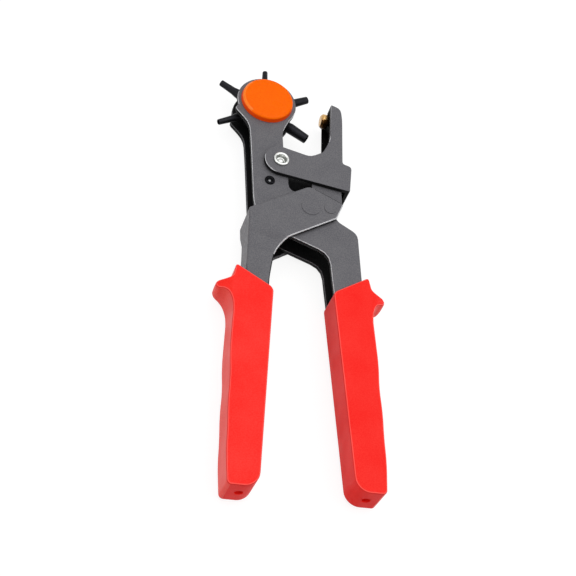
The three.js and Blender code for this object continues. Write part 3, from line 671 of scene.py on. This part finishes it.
# A painted highlight at the centre of the rivet's pit
for face in rivet_bm.faces:
    if (face.calc_center_median() - rivet_place).xy.length < 0.7 * MM:
        face.material_index = 1
piece_from(rivet_bm, "small_rivet", "frame", [pressed_black, rivet_highlight_steel], ["index_rivet"])

# %% [markdown]
# ## Parts inside
# The hub, axle, nut, washer, bushes, spacers, leaf spring, drive sleeve and the jaw's foot
# show only in glimpses between the plates. Their solids hold all that would show, so each is
# a rounded copy.

# %% Parts inside
inside = {
    "turret_hub": ("turret", "black_steel", black_oxide, 0.25),
    "jaw_foot": ("jaw", "black_steel", black_oxide, 0.3),
    "handle_spacer_1": ("frame", "black_steel", black_oxide, 0.05),
    "handle_spacer_2": ("frame", "black_steel", black_oxide, 0.05),
    "turret_axle": ("frame", "bright_steel", bright_zinc, 0.3),
    "turret_nut": ("frame", "bright_steel", bright_zinc, 0.2),
    "turret_washer": ("frame", "bright_steel", bright_zinc, 0.1),
    "jaw_pivot_bush": ("frame", "bright_steel", bright_zinc, 0.15),
    "lever_pivot_bush": ("frame", "bright_steel", bright_zinc, 0.15),
    "index_spacer": ("frame", "bright_steel", bright_zinc, 0.15),
    "index_spring": ("frame", "bright_steel", bright_zinc, 0.1),
    "drive_sleeve": ("lever", "bright_steel", bright_zinc, 0.15),
}
for node, (body, slot, finish, width) in inside.items():
    inner_bm = merged_copy(node)
    rounded(inner_bm, width * MM, 2)
    piece_from(inner_bm, node + "_rounded", body, [finish], [node])

# %% [markdown]
# ## Return spring
# A torsion spring opens the handles. Its wire is a small circle spun round the jaw's bush
# with a little climb at each step, which makes a coil. Each leg is the wire's open end,
# extruded to where it rests: one by the index spacer, one on the jaw's foot.

# %% Return spring
coil_turns, coil_radius, wire_radius = 3.25, 5.4 * MM, 0.6 * MM
coil_start, coil_end = 13.1 * MM, 7.4 * MM
coil_centre = Vector((pivots["jaw_swing"].x, pivots["jaw_swing"].y, coil_start))
spring_bm = bmesh.new()
wire_place = (
    Matrix.Translation(coil_centre + Vector((-coil_radius, 0, 0))) @ Matrix.Rotation(math.pi / 2, 4, "X")
)
wire = bmesh.ops.create_circle(spring_bm, segments=10, radius=wire_radius, matrix=wire_place)
first_ring = wire["verts"]
ring_edges = list({edge for vert in first_ring for edge in vert.link_edges})
coil_steps = 78
coil = bmesh.ops.spin(
    spring_bm,
    geom=first_ring + ring_edges,
    cent=coil_centre,
    axis=(0, 0, 1),
    dvec=(0, 0, (coil_end - coil_start) / coil_steps),
    angle=-2 * math.pi * coil_turns,
    steps=coil_steps,
    use_merge=False,
    use_duplicate=False,
)
last_edges = [item for item in coil["geom_last"] if isinstance(item, bmesh.types.BMEdge)]
leg_on_frame = ((-3.09, -7.75, 0), (0, -6.3, 0))
leg_on_foot = ((3.1, -0.7, 0),) * 10
for edges, moves in ((ring_edges, leg_on_frame), (last_edges, leg_on_foot)):
    for move in moves:
        grown = bmesh.ops.extrude_edge_only(spring_bm, edges=edges)["geom"]
        verts = [item for item in grown if isinstance(item, bmesh.types.BMVert)]
        bmesh.ops.translate(spring_bm, verts=verts, vec=Vector(move) * MM)
        edges = [item for item in grown if isinstance(item, bmesh.types.BMEdge)]
    bmesh.ops.contextual_create(spring_bm, geom=edges)
bmesh.ops.recalc_face_normals(spring_bm, faces=spring_bm.faces)
spring = piece_from(spring_bm, "wire_spring", "", [bright_zinc], ["return_spring"])
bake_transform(spring)

# %% [markdown]
# ## Grips
# The grips are moulded covers, pushed over the steel. Each starts as a face with seventeen
# corners, on the left or mirrored on the right. Every corner is rounded by its own radius,
# which gives the outer side its finger waves. The face is then extruded to the grip's
# thickness and its rims are rounded. Cuts across the guard horn give it the points it
# needs to be drawn thinner and rounder towards its tip.

# %% Grip outline
grip_inner, grip_width, grip_length = 13.9, 17.5, 104.4
grip_middle, grip_top, grip_shift = 16.6, 99.8, 1.0
grip_edge = 0.6
grip_corners = [
    (0.04, 0.083, 0.1), (0.965, -0.01, 0.034), (1.035, 0.049, 0.13), (1.2, 0.059, 0.2),
    (1.445, 0.0595, 0.14), (1.425, 0.0975, 0.14), (1.2, 0.108, 0.2), (1.05, 0.15, 0.3),
    (1.02, 0.2, 0.286), (1.06, 0.307, 0.286), (1.1, 0.421, 0.286),
    (1.075, 0.527, 0.286), (1.13, 0.642, 0.286), (1.125, 0.757, 0.286), (1.155, 0.86, 0.286),
    (1.12, 0.994, 0.08), (0.41, 0.994, 0.4),
]


def handle_point(side, out, down):
    local = Vector((grip_middle + side * out, side * grip_shift - grip_top - down, 0)) * MM
    return local + Vector((pivots["turret_spin"].x, pivots["turret_spin"].y, 0))


def pushed_out(corners, by):
    """The corners of the same outline with each side moved out, for an outline that runs clockwise."""
    moved = []
    for index, here in enumerate(corners):
        before, after = corners[index - 1], corners[(index + 1) % len(corners)]
        first, second = (here - before).normalized(), (after - here).normalized()
        normals = [Vector((-line.y, line.x, 0)) for line in (first, second)]
        bisector = (normals[0] + normals[1]).normalized()
        moved.append(here + bisector * by / max(bisector.dot(normals[0]), 0.5))
    return moved


def rounded_outline(corners, cuts, height, pushed=0):
    """A face with rounded corners. A cut is how far the rounding reaches along a side, before the
    outline was pushed out, which lengthens it on an outer corner and shortens it on an inner one."""
    bm = bmesh.new()
    verts = [bm.verts.new((point.x, point.y, height)) for point in corners]
    bm.faces.new(verts)
    for index, vert in enumerate(verts):
        after = corners[(index + 1) % len(corners)]
        lines = [corners[index] - corners[index - 1], after - corners[index]]
        turn = lines[1].xy.angle_signed(lines[0].xy)
        cut = cuts[index] + pushed * math.tan(-turn / 2)
        bmesh.ops.bevel(
            bm,
            geom=[vert],
            offset=max(0.3 * MM, min(cut, 0.47 * lines[0].length, 0.47 * lines[1].length)),
            offset_type="OFFSET",
            segments=8,
            profile=0.5,
            affect="VERTICES",
            material=-1,
        )
    return bm


# %% [markdown]
# ## The mouth of a grip
# The steel enters the grip through a mouth that clings to it, and the end of
# the grip has a blind hole where the core of the mould stood. Both are cut out with
# a Boolean, whose result is then kept as the grip's own mesh.

# %% Grips
mouths = {
    1: [(30.417, -98.0), (44.778, -98.0)],
    -1: [(0.981, -103.0), (-9.812, -100.0)],
}
tang_ends = [(20.984, 90.2), (31.1, 90.2)]
grip_low, grip_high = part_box("right_grip")[0][2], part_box("right_grip")[1][2]


def cutter_from(bm):
    mesh = bpy.data.meshes.new("cutter")
    bmesh.ops.recalc_face_normals(bm, faces=bm.faces)
    bm.to_mesh(mesh)
    bm.free()
    cutter = bpy.data.objects.new("cutter", mesh)
    bpy.context.scene.collection.objects.link(cutter)
    return cutter


def extruded(bm, height):
    top = bmesh.ops.extrude_face_region(bm, geom=list(bm.faces))["geom"]
    verts = [item for item in top if isinstance(item, bmesh.types.BMVert)]
    bmesh.ops.translate(bm, verts=verts, vec=(0, 0, height))
    bmesh.ops.recalc_face_normals(bm, faces=bm.faces)


def pocket_cutter(side):
    origin = Vector((pivots["turret_spin"].x, pivots["turret_spin"].y, 0))
    gap, floor_height, depth = 0.05, 3.5, 14.1
    near, far = (Vector((x, y, 0)) * MM + origin for x, y in mouths[side])
    near.x -= side * gap * MM
    far.x += side * gap * MM
    past_the_mouth = Vector((0, 10 * MM, 0))
    ends = [handle_point(side, out + grow, down + gap) for (out, down), grow in zip(tang_ends, (-gap, gap))]
    corners = (near, *ends, far, far + past_the_mouth, near + past_the_mouth)
    bm = bmesh.new()
    bm.faces.new([bm.verts.new((point.x, point.y, (floor_height - gap) * MM)) for point in corners])
    extruded(bm, (depth + 2 * gap) * MM)
    return cutter_from(bm)


def hole_cutter(side):
    inner_end = grip_inner + grip_corners[-1][0] * grip_width
    outer_end = grip_inner + grip_corners[-2][0] * grip_width
    centre = handle_point(side, (inner_end + outer_end) / 2, grip_length)
    centre.z = middle_z
    bm = bmesh.new()
    bmesh.ops.create_cone(
        bm,
        cap_ends=True,
        segments=32,
        radius1=2.2 * MM,
        radius2=1.7 * MM,
        depth=12 * MM,
        matrix=Matrix.Translation(centre) @ Matrix.Rotation(-math.pi / 2, 4, "X"),
    )
    return cutter_from(bm)


def is_flat(face):
    return abs(face.normal.z) > 0.99


def cut_across(bm, place, facing):
    bmesh.ops.bisect_plane(
        bm, geom=bm.verts[:] + bm.edges[:] + bm.faces[:], plane_co=place, plane_no=facing
    )


def thin_the_horn(bm, side):
    """Towards its tip the horn loses half its depth, and its front and back get narrower."""
    root, tip = (handle_point(side, grip_inner + a * grip_width, 0.081 * grip_length) for a in (1.06, 1.5))
    low_end = handle_point(side, 0, 0.16 * grip_length).y
    for step in range(8):
        cut_across(bm, root.lerp(tip, step / 8), (1, 0, 0))
    middle, half = (grip_low + grip_high) / 2, (grip_high - grip_low) / 2
    for level in (-0.75, -0.5, -0.25, 0, 0.25, 0.5, 0.75):
        cut_across(bm, (0, 0, middle + level * half), (0, 0, 1))
    for vert in bm.verts:
        along = (vert.co.x - root.x) / (tip.x - root.x)
        if along > 0 and vert.co.y > low_end:
            level = (vert.co.z - middle) / half
            vert.co.y += (root.y - vert.co.y) * 0.28 * min(along * 1.5, 1) * level**2
            vert.co.z = middle + level * half * (1 - 0.55 * along**1.5)


def grip(side, node, body):
    corners = [handle_point(side, grip_inner + a * grip_width, d * grip_length) for a, d, _ in grip_corners]
    cuts = [cut * grip_width * MM for _, _, cut in grip_corners]
    if side < 0:
        corners.reverse()
        cuts.reverse()
    bm = rounded_outline(pushed_out(corners, grip_edge * MM), cuts, grip_low, grip_edge * MM)
    extruded(bm, grip_high - grip_low)
    rims = [edge for edge in bm.edges if sum(is_flat(face) for face in edge.link_faces) == 1]
    # Outer sides get a painted sheen; inner sides and ends get painted shade
    for face in bm.faces:
        if not is_flat(face):
            face.material_index = 4 if face.normal.x * side > 0.2 else 3
    # Rims get a painted highlight where they lie near the face, and painted shade where they turn into the
    # side
    for face in rounding(bm, rims, grip_edge * MM, 4):
        face.material_index = 1 if abs(face.normal.z) > 0.6 else 2
    thin_the_horn(bm, side)
    bmesh.ops.triangulate(bm, faces=bm.faces)
    mesh = bpy.data.meshes.new("grip")
    bm.to_mesh(mesh)
    bm.free()
    # The right cover is a little deeper in colour in the photo, so it has its own finish
    face_pvc = deep_pvc if side > 0 else red_pvc
    finishes = [face_pvc, pvc_edge_highlight, shaded_pvc, inner_pvc, pvc_painted_sheen]
    for finish in finishes:
        mesh.materials.append(finish)
    plain = bpy.data.objects.new("plain_grip", mesh)
    bpy.context.scene.collection.objects.link(plain)
    cutters = [pocket_cutter(side), hole_cutter(side)]
    for cutter in cutters:
        cut = plain.modifiers.new("cut", "BOOLEAN")
        cut.operation, cut.solver, cut.object = "DIFFERENCE", "EXACT", cutter
    bpy.context.view_layer.update()
    result = plain.evaluated_get(bpy.context.evaluated_depsgraph_get()).to_mesh()
    carved = bmesh.new()
    carved.from_mesh(result)
    for helper in (*cutters, plain):
        bpy.data.objects.remove(helper)
    return piece_from(carved, node + "_moulded", body, finishes, [node])


grip(1, "right_grip", "frame")
grip(-1, "left_grip", "lever")
